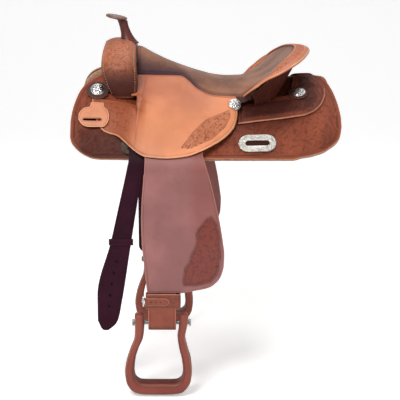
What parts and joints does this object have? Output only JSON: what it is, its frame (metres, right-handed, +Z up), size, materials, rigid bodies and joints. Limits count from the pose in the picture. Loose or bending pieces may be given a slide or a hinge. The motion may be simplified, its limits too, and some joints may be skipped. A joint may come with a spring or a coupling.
{
  "type": "western saddle",
  "caption": "Western riding saddle with horn, swell, suede seat, high cantle, leather skirts, hanging fenders, leather-covered stirrups and metal conchos.",
  "frame": {"origin": "on the centre plane, midway between the front and rear edges of the skirts, level with the underside of the stirrups", "axes": "+Z up, +Y towards the off side, +X from the horn to the cantle"},
  "size_m": [0.671, 0.61, 0.9254],
  "materials": {
    "tan_leather": "satin",
    "russet_leather": "satin",
    "dark_leather": "satin",
    "fender_leather": "satin",
    "latigo_leather": "satin",
    "stirrup_leather_cover": "satin",
    "suede": "matt suede",
    "fleece": "matt fleece",
    "wood": "matt",
    "foam": "matt",
    "silver": "polished",
    "steel": "brushed"
  },
  "bodies": {
    "saddle": {"tree_fork": "wood", "swell_cover": "russet_leather", "horn_core": "steel", "horn_wrap": "dark_leather", "horn_cap": "tan_leather", "ground_seat": "russet_leather", "seat_foam": "foam", "seat_cover": "suede", "cantle_roll": "tan_leather", "cantle_back": "dark_leather", "cantle_board": "wood", "latigo_keeper": "tan_leather", "fleece_near": "fleece", "skirt_near": "russet_leather", "tree_bar_near": "wood", "seat_jockey_near": "tan_leather", "rear_jockey_near": "dark_leather", "rear_rigging_plate_near": "silver", "front_rigging_plate_near": "steel", "front_rosette_near": "dark_leather", "front_concho_near": "silver", "rear_rosette_near": "dark_leather", "rear_concho_near": "silver", "seat_concho_near": "silver", "fleece_off": "fleece", "skirt_off": "russet_leather", "tree_bar_off": "wood", "seat_jockey_off": "tan_leather", "rear_jockey_off": "dark_leather", "rear_rigging_plate_off": "silver", "front_rigging_plate_off": "steel", "front_rosette_off": "dark_leather", "front_concho_off": "silver", "rear_rosette_off": "dark_leather", "rear_concho_off": "silver", "seat_concho_off": "silver"},
    "fender_top_near": {"fender_top_near": "fender_leather"},
    "fender_near": {"fender_near": "fender_leather", "stirrup_leather_near": "fender_leather", "hobble_strap_near": "tan_leather", "hobble_buckle_near": "silver"},
    "stirrup_near": {"stirrup_near": "stirrup_leather_cover", "stirrup_bolt_near": "steel"},
    "roller_near": {"stirrup_roller_near": "steel"},
    "buckle_tongue_near": {"buckle_tongue_near": "silver"},
    "latigo": {"latigo": "latigo_leather"},
    "fender_top_off": {"fender_top_off": "fender_leather"},
    "fender_off": {"fender_off": "fender_leather", "stirrup_leather_off": "fender_leather", "hobble_strap_off": "tan_leather", "hobble_buckle_off": "silver"},
    "stirrup_off": {"stirrup_off": "stirrup_leather_cover", "stirrup_bolt_off": "steel"},
    "roller_off": {"stirrup_roller_off": "steel"},
    "buckle_tongue_off": {"buckle_tongue_off": "silver"},
    "off_billet": {"off_billet": "latigo_leather"}
  },
  "joints": [
    {"name": "fender_swing_near", "type": "hinge", "parent": "saddle", "child": "fender_top_near", "pos_m": [-0.075, -0.1646, 0.7078], "axis": [0, -0.7071, 0.7071], "range_deg": [-11, 15]},
    {"name": "fender_lift_near", "type": "hinge", "parent": "fender_top_near", "child": "fender_near", "pos_m": [-0.075, -0.2758, 0.59515], "axis": [-1, 0, 0], "range_deg": [0, 75]},
    {"name": "stirrup_swing_near", "type": "hinge", "parent": "fender_near", "child": "stirrup_near", "pos_m": [-0.1109, -0.28, 0.188], "axis": [1, 0, 0], "range_deg": [-60, 60]},
    {"name": "roller_spin_near", "type": "hinge", "parent": "stirrup_near", "child": "roller_near", "pos_m": [-0.1109, -0.28, 0.188], "axis": [1, 0, 0], "continuous": true},
    {"name": "buckle_tongue_hinge_near", "type": "hinge", "parent": "fender_near", "child": "buckle_tongue_near", "pos_m": [-0.1555, -0.26975, 0.245], "axis": [0, 0, -1], "range_deg": [0, 100]},
    {"name": "latigo_swing", "type": "hinge", "parent": "saddle", "child": "latigo", "pos_m": [-0.168, -0.24, 0.622], "axis": [0, -0.809, 0.5878], "range_deg": [-12, 12]},
    {"name": "fender_swing_off", "type": "hinge", "parent": "saddle", "child": "fender_top_off", "pos_m": [-0.075, 0.1646, 0.7078], "axis": [0, -0.7071, -0.7071], "range_deg": [-11, 15]},
    {"name": "fender_lift_off", "type": "hinge", "parent": "fender_top_off", "child": "fender_off", "pos_m": [-0.075, 0.2758, 0.59515], "axis": [1, 0, 0], "range_deg": [0, 75]},
    {"name": "stirrup_swing_off", "type": "hinge", "parent": "fender_off", "child": "stirrup_off", "pos_m": [-0.1109, 0.28, 0.188], "axis": [1, 0, 0], "range_deg": [-60, 60]},
    {"name": "roller_spin_off", "type": "hinge", "parent": "stirrup_off", "child": "roller_off", "pos_m": [-0.1109, 0.28, 0.188], "axis": [1, 0, 0], "continuous": true},
    {"name": "buckle_tongue_hinge_off", "type": "hinge", "parent": "fender_off", "child": "buckle_tongue_off", "pos_m": [-0.1555, 0.26975, 0.245], "axis": [0, 0, 1], "range_deg": [0, 100]},
    {"name": "billet_swing", "type": "hinge", "parent": "saddle", "child": "off_billet", "pos_m": [-0.168, 0.24, 0.622], "axis": [0, -0.809, -0.5878], "range_deg": [-12, 12]}
  ]
}
